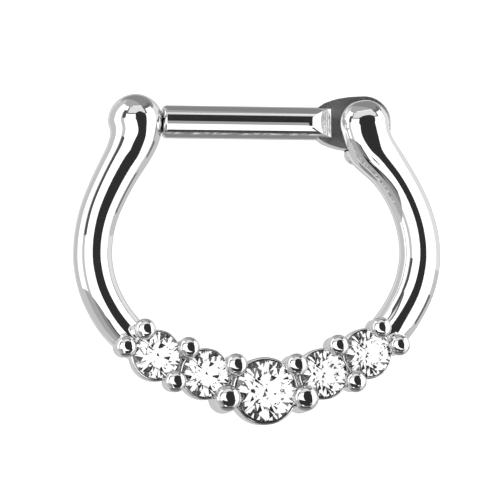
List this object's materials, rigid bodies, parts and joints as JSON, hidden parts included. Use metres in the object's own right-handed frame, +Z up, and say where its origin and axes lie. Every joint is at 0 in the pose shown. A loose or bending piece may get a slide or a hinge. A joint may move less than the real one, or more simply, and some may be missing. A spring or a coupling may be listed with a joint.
{
  "type": "septum ring",
  "caption": "Hinged septum clicker: a polished teardrop frame with a row of prong-set round stones, closed by a straight bar that swings open on a hinge.",
  "frame": {"origin": "on the surface it lies on, under the middle of the ring's width and height", "axes": "+X to the hinge, +Y from the stones to the bar, +Z up through the ring, the way the stones face"},
  "size_m": [0.0134, 0.0119, 0.0027],
  "materials": {
    "frame_metal": "cast and polished, rhodium plated",
    "bar_steel": "polished surgical steel, with milled flats",
    "pin_steel": "polished surgical steel",
    "clear_stone": "colourless faceted cubic zirconia"
  },
  "bodies": {
    "frame": {"ring_frame": "frame_metal", "hinge_pin": "pin_steel", "centre_stone": "clear_stone", "stone_left_inner": "clear_stone", "stone_left_outer": "clear_stone", "stone_right_inner": "clear_stone", "stone_right_outer": "clear_stone"},
    "bar": {"hinge_bar": "bar_steel"}
  },
  "joints": [
    {"name": "bar_hinge", "type": "hinge", "parent": "frame", "child": "bar", "pos_m": [0.00391, 0.00495, 0.001], "axis": [0, 0, -1], "range_deg": [0, 110]}
  ]
}
